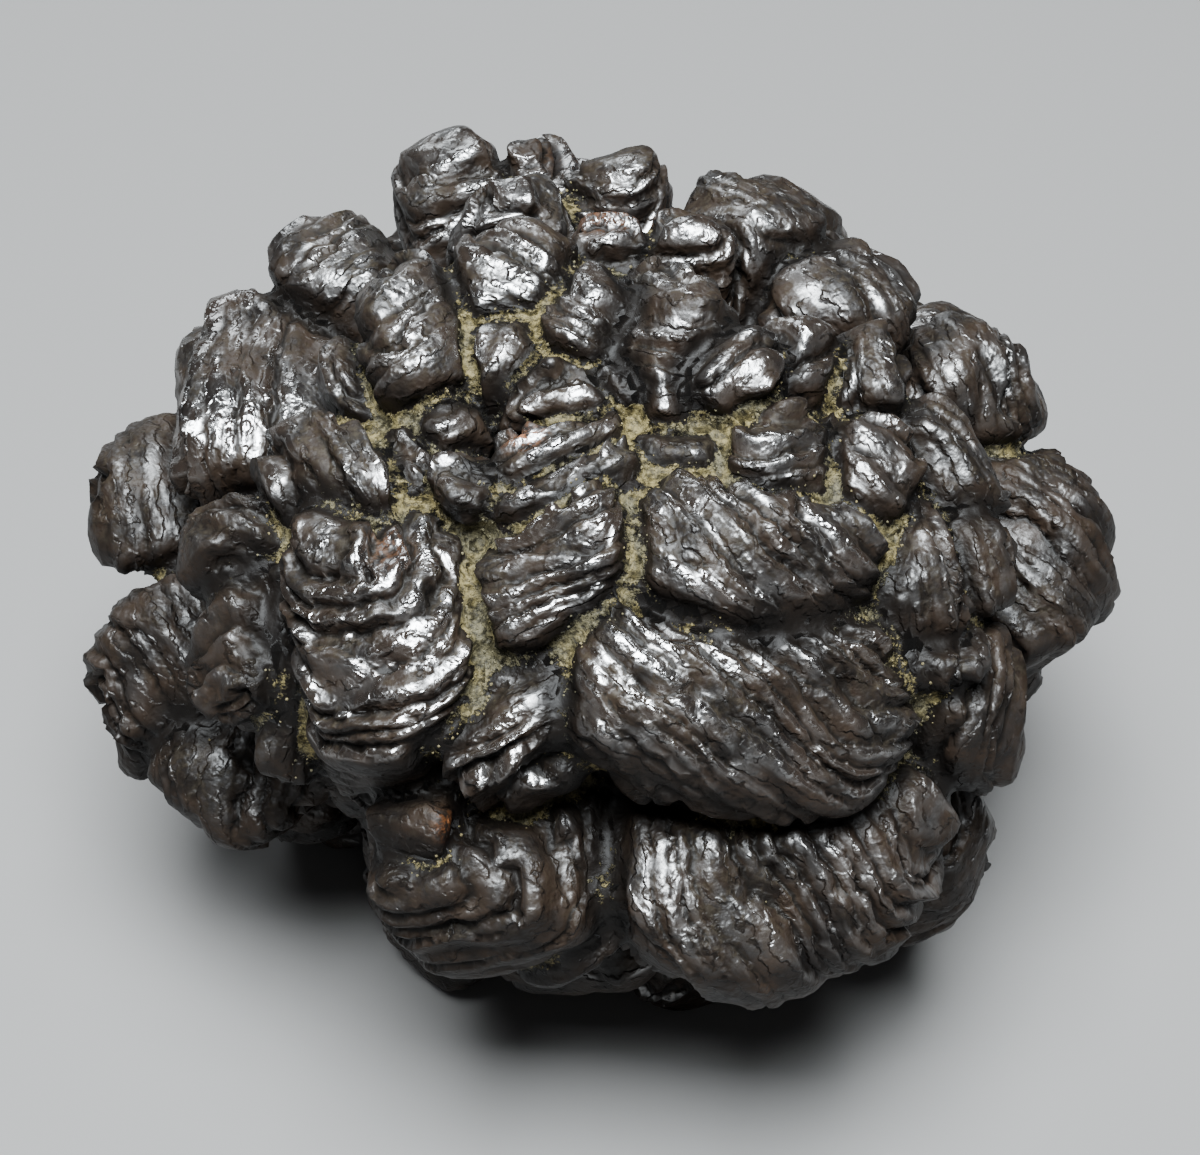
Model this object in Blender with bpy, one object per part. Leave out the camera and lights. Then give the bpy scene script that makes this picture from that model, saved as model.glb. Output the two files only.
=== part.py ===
# A limonite concretion: one solid stone, a ball of blunt crystals grown together.
# Sizes are in millimetres until the finished mesh is scaled to metres.
# The stone stands on the plane z = 0, with the middle of its box on the z axis.

import math
import random
from dataclasses import dataclass

import bmesh
import bpy
import numpy as np
from mathutils import Matrix, Vector, noise

METRES_PER_MM = 0.001

# Driving sizes
STONE_HALF = Vector((35.0, 32.5, 26.5))  # reach of the crystals from the body's middle
CORE_HALF = Vector((26.5, 24.3, 20.0))  # the mass that the crystals grew out of
FACETS = 6  # worn faces on each crystal
FACET_REACH = (0.87, 1.0)  # how far out they lie, as a share of the crystal's own surface
EDGE_HARDNESS = 14.0
CREASE_DEPTH = 0.7  # of the groove where two crystals meet
CREASE_WIDTH = 0.14  # as a share of a crystal's size
BEND = 0.9  # how far the crystals are bent out of their regular shapes
BEND_SIZE = 7.0  # size of the waves that bend them
BEND_FIELDS = (300.0, 400.0, 500.0)  # where the noise is read for the bend along x, y and z
FOOT_WEAR = 0.6  # height worn off the lowest crystals, which leaves the flats it rests on

# The growth layers
LEDGE = 0.55  # how strongly a layer's edge stands out, as a share of its thickness
LAYER_OFFSET = 0.6  # how much further out or in a whole layer lies than the next
LAYER_GROOVE = 0.3  # depth of the line between two layers
GROOVE_SHARE = 0.16  # width of that line, as a share of a layer
MOST_LAYERS = 40  # numbered either way from a crystal's middle
WIDE_WANDER = 0.55  # how far a layer wanders up and down, as a share of its thickness
WIDE_WANDER_SIZE = 4.5
FINE_WANDER = 0.22
FINE_WANDER_SIZE = 1.6
FINE_WANDER_FIELD = 40.0
STRENGTH = 0.75  # the ledges are weaker and stronger from place to place, round this share
STRENGTH_RANGE = (0.15, 1.3)
STRENGTH_WAVE = 0.8
STRENGTH_SIZE = 5.0
STRENGTH_FIELD = -70.0
CLEAR_OF_CREASE = 0.15  # the ledges fade out this near to a crease, as a share of a crystal's size
WORN_BELOW = 5.0  # and over this height at the bottom

# The mesh
VOXEL = 0.5
SMOOTHING = 3
TRIANGLES = 9600
FAR = 9.0  # stands for the inwardness of a point nowhere near a crystal
NEARBY = 1.3  # a point further off than this many times a crystal's longest half size isn't near it

# The rear and the underside
HIDDEN_SEED = 11
HIDDEN_COUNT = 74  # directions tried, spread evenly round the stone
HIDDEN_HALF = (6.4, 5.2, 6.0)
HIDDEN_GROWTH = (0.9, 1.25)  # how much smaller or larger each one is, along and across
SPIRAL_TURN = math.radians(137.5)
OUT_OF_SIGHT = -0.12  # a direction that leans less than this to the eye isn't in the photograph
OVER_FEET = -0.8  # the feet take the place of any direction that points further down than this

# The photograph, 1200 by 1155 pixels, read as a view of the stone from the front and above
VIEW_RISE = math.radians(45.0)
EYE_DISTANCE = 205.0
PIXELS_PER_MM = 14.5
MIDDLE_PIXEL = (603.0, 566.0)
TO_EYE = Vector((0.0, -math.cos(VIEW_RISE), math.sin(VIEW_RISE)))
VIEW_RIGHT = Vector((1.0, 0.0, 0.0))
VIEW_UP = TO_EYE.cross(VIEW_RIGHT)

# The material
STONE_COLOUR = (0.060, 0.044, 0.037, 1.0)
STONE_ROUGHNESS = 0.36
STONE_METALLIC = 0.25


# One blunt crystal. half holds its half sizes along its length, across it and outwards.
# turn is the angle of its length in the photograph, anticlockwise from the right.
@dataclass
class Crystal:
    name: str
    half: tuple
    crown_at: tuple = None  # its outermost point, in pixels of the photograph
    seen_at: tuple = None  # or its middle, for one on the rim
    stands_at: tuple = None  # for a foot under the stone, its x and y
    bearing: float = 0.0  # its place round the stone where the photograph doesn't show it
    rise: float = 0.0
    turn: float = 0.0
    square: float = 2.6  # 2 is an ellipsoid, and 4 is a block with round edges
    proud: float = 0.0  # how far it stands out past its neighbours
    step: float = 3.0  # distance between its growth ledges
    lean: float = 30.0  # tilt of the stack of layers from the outward direction
    toward: float = 270.0  # the way the stack leans, as an angle in the photograph
    plates: tuple = ()  # its large flat faces: (angle in the photograph, tilt, reach)


SEEN = [
    # the back rim
    Crystal("back_knob_1", (4.7, 4.2, 5.6), seen_at=(456, 202), square=2.9),
    Crystal("back_knob_2", (3.9, 3.8, 5.3), seen_at=(541, 209)),
    Crystal("back_knob_3", (4.6, 4.0, 5.2), seen_at=(608, 230), lean=20),
    Crystal("back_knob_4", (4.0, 3.4, 4.8), crown_at=(686, 214)),
    Crystal("back_block", (5.8, 5.0, 6.0), seen_at=(754, 276), turn=-12, square=3.4, toward=45, lean=60),
    Crystal("back_corner", (5.0, 4.8, 5.9), seen_at=(828, 320), square=3.0, toward=50, lean=60),
    Crystal("back_low_knob", (4.6, 2.8, 4.4), crown_at=(505, 184), turn=5, proud=-0.4),
    Crystal("back_plate", (4.2, 3.0, 4.0), crown_at=(606, 224), square=3.2, proud=-0.6),
    # the left rim
    Crystal("left_knob", (5.0, 4.6, 6.2), seen_at=(350, 312), square=2.8, toward=120),
    Crystal("left_knob_tail", (4.8, 3.0, 4.4), crown_at=(346, 366), turn=118, proud=-1.5, toward=40),
    Crystal("left_finger", (7.6, 4.5, 6.6), crown_at=(394, 298), turn=100, proud=0.9, toward=150, lean=40),
    Crystal("left_finger_tail", (4.4, 2.7, 4.2), crown_at=(430, 398), turn=112, proud=-1.8, toward=150),
    Crystal(
        "left_plates",
        (9.8, 6.0, 7.2),
        seen_at=(274, 408),
        turn=-57,
        square=3.2,
        step=3.4,
        lean=65,
        toward=213,
        plates=((225, 28, 0.86), (20, 30, 0.84)),
    ),
    Crystal(
        "left_plates_end",
        (6.2, 4.8, 5.6),
        crown_at=(312, 470),
        turn=-57,
        square=3.2,
        toward=213,
        lean=65,
    ),
    Crystal("left_ball", (7.0, 6.0, 6.6), seen_at=(190, 500), turn=90, lean=20),
    Crystal("left_inner_ball", (4.9, 4.5, 5.4), crown_at=(205, 534), proud=0.3),
    Crystal("left_nested", (7.2, 6.6, 7.2), seen_at=(206, 674), turn=80, square=3.0, lean=12),
    Crystal("left_nested_cap", (6.4, 5.6, 6.2), crown_at=(220, 656), turn=80, square=3.0, proud=0.4, lean=12),
    Crystal("left_nested_foot", (8.6, 5.2, 6.4), seen_at=(236, 738), turn=-15, toward=200, lean=50),
    Crystal("left_wall", (7.8, 3.0, 5.2), crown_at=(262, 680), turn=82, proud=-1.0, toward=170, lean=75),
    # the top
    Crystal("top_drop", (5.5, 5.1, 6.4), crown_at=(506, 244), square=2.4, proud=0.9, lean=60, toward=50),
    Crystal("top_drop_tail", (4.6, 3.7, 4.8), crown_at=(500, 326), turn=100, proud=-1.1, lean=60, toward=150),
    Crystal("top_middle", (5.4, 4.4, 5.4), crown_at=(604, 288), turn=70, square=2.8, toward=60, proud=0.2),
    Crystal("top_round", (7.2, 5.5, 6.4), crown_at=(683, 304), turn=102, proud=1.0, toward=80, lean=35),
    Crystal("top_bud_1", (4.9, 3.9, 5.0), crown_at=(740, 350), turn=32, proud=0.7, toward=300, lean=50),
    Crystal("top_bud_2", (4.4, 3.7, 5.2), crown_at=(812, 338), turn=90, square=2.8, proud=0.5, toward=90),
    Crystal("top_bud_3", (5.0, 3.6, 5.2), crown_at=(884, 360), turn=105, proud=0.2, toward=0, lean=65),
    Crystal("top_low_1", (4.6, 2.7, 4.0), crown_at=(546, 372), turn=-18, proud=-0.9, square=3.0),
    Crystal("top_low_2", (4.6, 2.7, 4.0), crown_at=(646, 374), turn=10, proud=-1.0, square=3.0),
    # the saddle between the top and the front
    Crystal("saddle_left", (6.6, 2.8, 4.2), crown_at=(546, 438), turn=28, proud=-1.2, toward=118, lean=70),
    Crystal("saddle_right", (6.2, 2.7, 4.2), crown_at=(694, 450), turn=6, proud=-1.9, toward=100),
    Crystal("saddle_bud", (3.2, 2.9, 3.6), crown_at=(466, 470), turn=80, proud=-1.0, lean=10),
    Crystal("saddle_corner", (5.4, 3.6, 4.4), crown_at=(392, 462), turn=-60, proud=-2.2),
    # the right side
    Crystal("right_knob", (5.2, 4.8, 5.8), seen_at=(955, 408), square=2.8, toward=20, lean=40),
    Crystal("right_ridge", (5.8, 3.7, 5.0), crown_at=(966, 452), turn=-50, toward=45, lean=70),
    Crystal("right_end", (8.4, 5.8, 6.4), seen_at=(1012, 562), turn=80, toward=45, lean=60),
    Crystal("right_inner_1", (4.8, 4.1, 5.0), crown_at=(798, 440), turn=15, proud=0.1, toward=100, lean=50),
    Crystal("right_inner_2", (5.4, 4.2, 5.0), crown_at=(885, 462), turn=100, toward=60, lean=50),
    Crystal("right_slope", (6.8, 4.2, 5.0), crown_at=(934, 572), turn=100, proud=-0.3, toward=10, lean=70),
    Crystal("right_slip", (4.8, 3.3, 4.8), crown_at=(1004, 546), turn=100, toward=10, lean=60),
    Crystal("right_low_bud", (4.4, 3.4, 4.6), crown_at=(955, 654), turn=8, toward=0, lean=40),
    Crystal("right_foot", (6.2, 5.0, 5.6), seen_at=(930, 702), turn=100, toward=0, lean=65),
    # the front
    Crystal(
        "front_wedge",
        (10.4, 8.0, 7.2),
        crown_at=(332, 640),
        turn=-78,
        proud=0.6,
        square=3.0,
        step=2.6,
        lean=38,
        toward=90,
        plates=((190, 52, 0.88),),
    ),
    Crystal(
        "front_middle",
        (6.2, 5.2, 6.2),
        crown_at=(556, 550),
        turn=15,
        proud=0.7,
        square=3.0,
        toward=110,
        lean=60,
    ),
    Crystal("front_ridge", (6.6, 2.6, 4.2), crown_at=(584, 474), turn=18, proud=-0.4, toward=110, lean=60),
    Crystal(
        "front_loaf",
        (9.3, 6.2, 6.8),
        crown_at=(784, 554),
        turn=-14,
        proud=0.9,
        square=2.8,
        toward=48,
        lean=62,
    ),
    Crystal(
        "front_shelf",
        (12.2, 7.8, 8.2),
        crown_at=(754, 706),
        turn=-8,
        proud=0.7,
        square=2.7,
        step=2.8,
        lean=70,
        toward=52,
        plates=((80, 22, 0.92),),
    ),
    Crystal(
        "front_ledges",
        (7.6, 6.4, 6.6),
        crown_at=(512, 722),
        turn=25,
        square=3.6,
        step=2.4,
        lean=62,
        toward=295,
        plates=((115, 30, 0.8), (295, 38, 0.84)),
    ),
    Crystal(
        "low_shelf",
        (12.4, 6.4, 8.4),
        seen_at=(776, 856),
        turn=4,
        proud=2.8,
        square=2.9,
        step=2.8,
        lean=75,
        toward=35,
        plates=((95, 42, 0.84),),
    ),
    Crystal("low_corner", (6.4, 4.0, 5.8), seen_at=(908, 846), turn=95, toward=0, lean=70),
    Crystal(
        "low_block",
        (8.8, 7.2, 7.8),
        seen_at=(490, 860),
        turn=-15,
        proud=0.8,
        square=3.4,
        toward=110,
        lean=60,
    ),
    Crystal("low_knob", (3.9, 3.1, 4.4), seen_at=(422, 822), turn=12, square=3.0, plates=((90, 25, 0.85),)),
    Crystal("low_fin", (5.6, 3.0, 4.8), seen_at=(562, 912), turn=50, toward=140, lean=70),
]

# Every foot has one flat face, straight down
FOOT_PLATES = ((0, 0, 0.9),)

# The lowest crystals, spread widely enough for the stone to stand as it was seen
FEET = [
    Crystal("foot_left", (7.8, 6.6, 6.0), stands_at=(-17.0, 1.5), turn=70, square=3.0, toward=200),
    Crystal("foot_back_left", (8.4, 6.2, 6.0), stands_at=(-6.5, 14.0), turn=20, lean=40),
    Crystal("foot_back_right", (6.6, 7.6, 6.0), stands_at=(9.5, 10.5), turn=-35, square=3.0, lean=60),
    Crystal("foot_right", (7.0, 8.0, 6.0), stands_at=(17.5, -3.0), turn=80, toward=40),
    Crystal("foot_front_right", (8.0, 6.4, 6.0), stands_at=(6.5, -13.5), turn=15, lean=65, toward=330),
    Crystal("foot_front_left", (7.0, 7.8, 6.0), stands_at=(-9.5, -10.5), turn=120, square=2.9, lean=50),
    Crystal("foot_middle", (8.4, 7.0, 6.0), stands_at=(1.5, -1.0), turn=60, proud=-1.2, lean=60),
]

# The overhang below the crystals that the photograph shows
UNDER = [
    Crystal("under_left", (6.8, 5.4, 6.0), bearing=198, rise=-36, turn=80, proud=-1.4),
    Crystal("under_front_left", (6.2, 5.4, 6.0), bearing=236, rise=-44, turn=130, proud=-3.2, lean=55),
    Crystal("under_front", (6.8, 5.6, 6.2), bearing=266, rise=-38, turn=10, proud=-1.0, lean=60),
    Crystal("under_front_right", (6.6, 5.6, 6.2), bearing=299, rise=-36, turn=60, proud=-0.8, lean=45),
    Crystal("under_right", (6.4, 5.6, 6.0), bearing=332, rise=-36, turn=100, proud=-1.4, lean=65),
]

# Holes between the crystals: (pixel of the photograph, radius, depth)
PITS = [
    ((489, 592), 1.5, 3.6),
    ((246, 520), 1.3, 1.6),
    ((866, 493), 1.3, 1.4),
]


def hidden_crystals():
    # The rear and the underside, which the photograph doesn't show, carry the same kind of crystals.
    chance = random.Random(HIDDEN_SEED)
    found = []
    for index in range(HIDDEN_COUNT):
        rise = math.asin(1.0 - 2.0 * (index + 0.5) / HIDDEN_COUNT)
        bearing = index * SPIRAL_TURN
        outward = direction(bearing, rise)
        if outward.dot(TO_EYE) > OUT_OF_SIGHT or outward.z < OVER_FEET:
            continue
        size = chance.uniform(*HIDDEN_GROWTH)
        length, width, height = HIDDEN_HALF
        found.append(
            Crystal(
                f"hidden_{index:02d}",
                (length * size, width * size, height),
                bearing=math.degrees(bearing) % 360.0,
                rise=math.degrees(rise),
                turn=chance.uniform(0.0, 180.0),
                square=chance.uniform(2.4, 3.4),
                proud=chance.uniform(-0.8, 0.8),
                lean=chance.uniform(10.0, 70.0),
                toward=chance.uniform(0.0, 360.0),
            )
        )
    return found


def direction(bearing, rise):
    return Vector(
        (
            math.cos(bearing) * math.cos(rise),
            math.sin(bearing) * math.cos(rise),
            math.sin(rise),
        )
    )


def scaled(vector, by):
    return Vector((vector.x * by.x, vector.y * by.y, vector.z * by.z))


def point_seen(pixel, half):
    # The point of the ellipsoid with these half sizes that the photograph shows at the pixel.
    right = (pixel[0] - MIDDLE_PIXEL[0]) / PIXELS_PER_MM
    up = (MIDDLE_PIXEL[1] - pixel[1]) / PIXELS_PER_MM
    eye = TO_EYE * EYE_DISTANCE
    ray = VIEW_RIGHT * right + VIEW_UP * up - eye
    inverse = Vector((1.0 / half.x, 1.0 / half.y, 1.0 / half.z))
    start = scaled(eye, inverse)
    way = scaled(ray, inverse)
    a = way.dot(way)
    b = way.dot(start)
    c = start.dot(start) - 1.0
    along = (-b - math.sqrt(max(0.0, b * b - a * c))) / a
    return eye + ray * along


def outward_at(point, half):
    return Vector((point.x / half.x**2, point.y / half.y**2, point.z / half.z**2)).normalized()


def placed(crystal):
    # (middle, rotation) of a crystal. The rotation's columns are its length, width and outward axes.
    depth = crystal.half[2] - crystal.proud
    half = STONE_HALF - Vector((depth, depth, depth))
    if crystal.stands_at:
        middle = Vector((*crystal.stands_at, -half.z))
        out = Vector((0.0, 0.0, -1.0))
    elif crystal.crown_at:
        half = STONE_HALF + Vector((crystal.proud, crystal.proud, crystal.proud))
        crown = point_seen(crystal.crown_at, half)
        out = outward_at(crown, half)
        middle = crown - out * crystal.half[2]
    else:
        if crystal.seen_at:
            middle = point_seen(crystal.seen_at, half)
        else:
            outward = direction(math.radians(crystal.bearing), math.radians(crystal.rise))
            middle = scaled(outward, half)
        out = outward_at(middle, half)
    length = in_plane(crystal.turn, out)
    width = out.cross(length)
    return middle, Matrix((length, width, out)).transposed()


def in_plane(angle, out):
    # The direction at this angle of the photograph, laid in the plane that faces outwards.
    turn = math.radians(angle)
    wanted = VIEW_RIGHT * math.cos(turn) + VIEW_UP * math.sin(turn)
    return (wanted - out * wanted.dot(out)).normalized()


def tilted(angle, tilt):
    # The direction this far from outwards, in a crystal's own axes. The angle is from its length.
    turn = math.radians(angle)
    rise = math.radians(tilt)
    return np.array(
        [math.sin(rise) * math.cos(turn), math.sin(rise) * math.sin(turn), math.cos(rise)]
    )


def unit_ball(divisions):
    ball = bmesh.new()
    bmesh.ops.create_icosphere(ball, subdivisions=divisions, radius=1.0)
    points = np.array([vert.co for vert in ball.verts])
    faces = np.array([[vert.index for vert in face.verts] for face in ball.faces])
    ball.free()
    return points, faces


def facets_of(crystal):
    # (directions, distances) of the flat faces, in the crystal's own axes.
    chance = random.Random(crystal.name)
    plates = FOOT_PLATES if crystal.stands_at else crystal.plates
    ways = [tilted(angle - crystal.turn, tilt) for angle, tilt, reach in plates]
    shares = [reach for angle, tilt, reach in plates]
    for _ in range(FACETS):
        way = np.array([chance.gauss(0.0, 1.0), chance.gauss(0.0, 1.0), chance.gauss(0.45, 0.8)])
        ways.append(way / np.linalg.norm(way))
        shares.append(chance.uniform(*FACET_REACH))
    ways = np.array(ways)
    return ways, np.linalg.norm(ways * np.array(crystal.half), axis=1) * np.array(shares)


def inwardness(local, crystal):
    # How far out a point lies in a crystal: 0 at its middle and 1 on its surface.
    # The form is a superellipsoid, cut by the flat faces with their edges rounded.
    half = np.array(crystal.half)
    body = (np.abs(local / half) ** crystal.square).sum(axis=1) ** (1.0 / crystal.square)
    ways, reach = facets_of(crystal)
    cuts = np.maximum(0.0, local @ ways.T / reach)
    return (body**EDGE_HARDNESS + (cuts**EDGE_HARDNESS).sum(axis=1)) ** (1.0 / EDGE_HARDNESS)


def raw_mesh(crystals):
    ball, ball_faces = unit_ball(4)
    shapes = [ball * np.array(CORE_HALF)]
    for crystal in crystals:
        middle, axes = placed(crystal)
        block = ball / inwardness(ball, crystal)[:, None]
        shapes.append(block @ np.array(axes).T + np.array(middle))
    points = np.concatenate(shapes)
    faces = np.concatenate([ball_faces + index * len(ball) for index in range(len(shapes))])
    mesh = bpy.data.meshes.new("crystals")
    mesh.from_pydata(points.tolist(), [], faces.tolist())
    return mesh


def owners(points, crystals):
    # For each point, the index of the crystal whose surface it lies on, and how clear of
    # the next crystal it is: 0 in the crease between two of them.
    least = np.full(len(points), FAR)
    second = np.full(len(points), FAR)
    owner = np.zeros(len(points), int)
    for index, crystal in enumerate(crystals):
        middle, axes = placed(crystal)
        local = (points - np.array(middle)) @ np.array(axes)
        near = np.linalg.norm(local, axis=1) < NEARBY * max(crystal.half)
        found = np.full(len(points), FAR)
        found[near] = inwardness(local[near], crystal)
        second = np.minimum(second, np.maximum(found, least))
        owner[found < least] = index
        least = np.minimum(least, found)
    return owner, np.clip(second - least, 0.0, 1.0)


def waves(points, size):
    return np.array([noise.noise(point) for point in points / size])


def layer_relief(points, normals, crystals):
    # How far each point moves along its normal, so that the growth layers end in ledges.
    owner, clear = owners(points, crystals)
    wander = WIDE_WANDER * waves(points, WIDE_WANDER_SIZE)
    wander += FINE_WANDER * waves(points + FINE_WANDER_FIELD, FINE_WANDER_SIZE)
    wave = STRENGTH_WAVE * waves(points + STRENGTH_FIELD, STRENGTH_SIZE)
    strength = np.clip(STRENGTH + wave, *STRENGTH_RANGE)
    strength *= np.clip(clear / CLEAR_OF_CREASE, STRENGTH_RANGE[0], 1.0)
    strength *= np.clip((points[:, 2] + STONE_HALF.z) / WORN_BELOW, 0.0, 1.0)
    relief = np.zeros(len(points))
    for index, crystal in enumerate(crystals):
        mine = owner == index
        middle, axes = placed(crystal)
        stack = np.array(axes) @ tilted(crystal.toward - crystal.turn, crystal.lean)
        height = (points[mine] - np.array(middle)) @ stack / crystal.step + wander[mine]
        layer = np.floor(height)
        rest = height - layer
        facing = normals[mine] @ stack
        chance = random.Random(crystal.name)
        outsets = {number: chance.uniform(-0.5, 0.5) for number in range(-MOST_LAYERS, MOST_LAYERS)}
        outset = np.array([outsets[int(number)] for number in layer])
        groove = np.exp(-((np.minimum(rest, 1.0 - rest) / GROOVE_SHARE) ** 2))
        ledge = crystal.step * facing * np.clip(rest - 0.5, -0.4, 0.4)
        lines = LAYER_OFFSET * outset - LAYER_GROOVE * groove
        relief[mine] = strength[mine] * (LEDGE * ledge + (1.0 - facing**2) * lines)
    relief -= CREASE_DEPTH * np.exp(-((clear / CREASE_WIDTH) ** 2))
    for pixel, radius, depth in PITS:
        middle = np.array(point_seen(pixel, STONE_HALF - Vector((radius, radius, radius)) * 2.0))
        reach = np.linalg.norm(points - middle, axis=1)
        relief -= depth * np.exp(-((reach / radius) ** 4))
    return relief


def evaluated_mesh(obj):
    graph = bpy.context.evaluated_depsgraph_get()
    return bpy.data.meshes.new_from_object(obj.evaluated_get(graph))


def with_modifier(mesh, kind, **settings):
    obj = bpy.data.objects.new("working", mesh)
    bpy.context.scene.collection.objects.link(obj)
    modifier = obj.modifiers.new(kind, kind)
    for name, value in settings.items():
        setattr(modifier, name, value)
    made = evaluated_mesh(obj)
    bpy.data.objects.remove(obj)
    return made


def keep_skin(mesh):
    # Removes the closed pockets that the crystals leave inside the stone.
    form = bmesh.new()
    form.from_mesh(mesh)
    start = max(form.verts, key=lambda vert: vert.co.x)
    reached = {start}
    frontier = [start]
    while frontier:
        vert = frontier.pop()
        for edge in vert.link_edges:
            other = edge.other_vert(vert)
            if other not in reached:
                reached.add(other)
                frontier.append(other)
    pockets = [vert for vert in form.verts if vert not in reached]
    bmesh.ops.delete(form, geom=pockets, context="VERTS")
    form.to_mesh(mesh)
    form.free()


def grown_mesh(crystals, voxel):
    # The skin of all the crystals together, with their growth ledges.
    mesh = with_modifier(raw_mesh(crystals), "REMESH", mode="VOXEL", voxel_size=voxel)
    keep_skin(mesh)
    mesh = with_modifier(mesh, "SMOOTH", factor=0.5, iterations=SMOOTHING)
    points = np.array([vert.co for vert in mesh.vertices])
    normals = np.array([vert.normal for vert in mesh.vertices])
    bends = [waves(points + field, BEND_SIZE) for field in BEND_FIELDS]
    points += normals * layer_relief(points, normals, crystals)[:, None]
    points += BEND * np.stack(bends, axis=1)
    mesh.vertices.foreach_set("co", points.ravel())
    mesh.update()
    return mesh


def stand(mesh):
    # Wears the lowest crystals flat, and moves the stone so that it stands on z = 0 over the origin.
    form = bmesh.new()
    form.from_mesh(mesh)
    floor = min(vert.co.z for vert in form.verts) + FOOT_WEAR
    cut = bmesh.ops.bisect_plane(
        form,
        geom=form.verts[:] + form.edges[:] + form.faces[:],
        plane_co=(0.0, 0.0, floor),
        plane_no=(0.0, 0.0, 1.0),
        clear_inner=True,
    )
    rim = [item for item in cut["geom_cut"] if isinstance(item, bmesh.types.BMEdge)]
    bmesh.ops.edgeloop_fill(form, edges=rim)
    low = [min(vert.co[axis] for vert in form.verts) for axis in range(3)]
    high = [max(vert.co[axis] for vert in form.verts) for axis in range(3)]
    shift = Vector((-(low[0] + high[0]) / 2, -(low[1] + high[1]) / 2, -floor))
    bmesh.ops.translate(form, verts=form.verts[:], vec=shift)
    bmesh.ops.triangulate(form, faces=form.faces[:])
    form.to_mesh(mesh)
    form.free()


def limonite():
    stone = bpy.data.materials.new("limonite")
    stone.use_nodes = True
    surface = stone.node_tree.nodes["Principled BSDF"]
    surface.inputs["Base Color"].default_value = STONE_COLOUR
    surface.inputs["Roughness"].default_value = STONE_ROUGHNESS
    surface.inputs["Metallic"].default_value = STONE_METALLIC
    return stone


def main():
    for obj in list(bpy.data.objects):
        bpy.data.objects.remove(obj)
    crystals = SEEN + FEET + UNDER + hidden_crystals()
    mesh = grown_mesh(crystals, VOXEL)
    mesh = with_modifier(mesh, "SMOOTH", factor=0.5, iterations=1)
    share = TRIANGLES / (2 * len(mesh.polygons))
    mesh = with_modifier(mesh, "DECIMATE", decimate_type="COLLAPSE", ratio=share)
    stand(mesh)
    mesh.transform(Matrix.Scale(METRES_PER_MM, 4))
    mesh.name = "concretion"
    mesh.materials.append(limonite())
    mesh.shade_smooth()
    obj = bpy.data.objects.new("concretion", mesh)
    bpy.context.scene.collection.objects.link(obj)


if __name__ == "__main__":
    main()
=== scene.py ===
import math
import random
from dataclasses import dataclass

import bmesh
import bpy
import numpy as np
from mathutils import Matrix, Vector, noise


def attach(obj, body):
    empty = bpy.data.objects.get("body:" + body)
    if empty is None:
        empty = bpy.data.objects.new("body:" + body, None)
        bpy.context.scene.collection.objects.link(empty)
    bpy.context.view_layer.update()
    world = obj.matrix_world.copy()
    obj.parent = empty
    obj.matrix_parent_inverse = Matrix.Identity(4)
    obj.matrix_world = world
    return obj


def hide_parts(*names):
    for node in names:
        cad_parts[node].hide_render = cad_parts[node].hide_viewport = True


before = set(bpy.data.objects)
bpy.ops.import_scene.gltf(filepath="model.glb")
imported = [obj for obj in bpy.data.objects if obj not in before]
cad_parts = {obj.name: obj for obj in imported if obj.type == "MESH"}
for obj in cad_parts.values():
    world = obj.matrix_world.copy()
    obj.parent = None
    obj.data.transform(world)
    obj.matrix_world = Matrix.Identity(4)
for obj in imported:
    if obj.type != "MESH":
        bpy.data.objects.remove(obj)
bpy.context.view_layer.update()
scene = bpy.context.scene
metresPerMm = 0.001

# The stone, in millimetres. It grew as one ball of blunt crystals, so it is one skin.
stone = {
    "half": Vector((35.0, 32.5, 26.5)),  # reach of the crystals from the body's middle
    "core": Vector((26.5, 24.3, 20.0)),  # the mass that they grew out of
    "middle": Vector((0.357, 1.088, 25.717)),  # where the body's middle stands
    "facets": 6,  # worn faces on each crystal
    "facetReach": (0.87, 1.0),
    "edgeHardness": 14.0,
    "creaseDepth": 0.7,
    "creaseWidth": 0.14,  # as a share of a crystal's size
    "bend": 0.9,  # how far the crystals are bent out of their regular shapes
    "bendSize": 7.0,
    "bendFields": (300.0, 400.0, 500.0),
    "ledge": 0.55,  # how strongly a growth layer's edge stands out
    "layerOffset": 0.6,
    "layerGroove": 0.3,
    "grooveShare": 0.16,
    "wornBelow": 5.0,  # the ledges fade out over this height at the bottom
    "voxel": 0.245,
    "triangles": 194000,
    "far": 9.0,
}

# Crystals at the rear and underneath, spread by a golden angle
hidden = {
    "seed": 11,
    "count": 74,
    "turn": math.radians(137.5),
    "outOfSight": -0.12,
    "overFeet": -0.8,
}

# The viewpoint, which also places the crystals. Pixels are those of a 1200 by 1155 picture.
view = {
    "rise": math.radians(45.0),
    "distance": 205.0,
    "pixelsPerMm": 14.5,
    "middlePixel": (603.0, 566.0),
    "imageSize": (1200.0, 1155.0),
}
toEye = Vector((0.0, -math.cos(view["rise"]), math.sin(view["rise"])))
viewRight = Vector((1.0, 0.0, 0.0))
viewUp = toEye.cross(viewRight)


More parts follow.
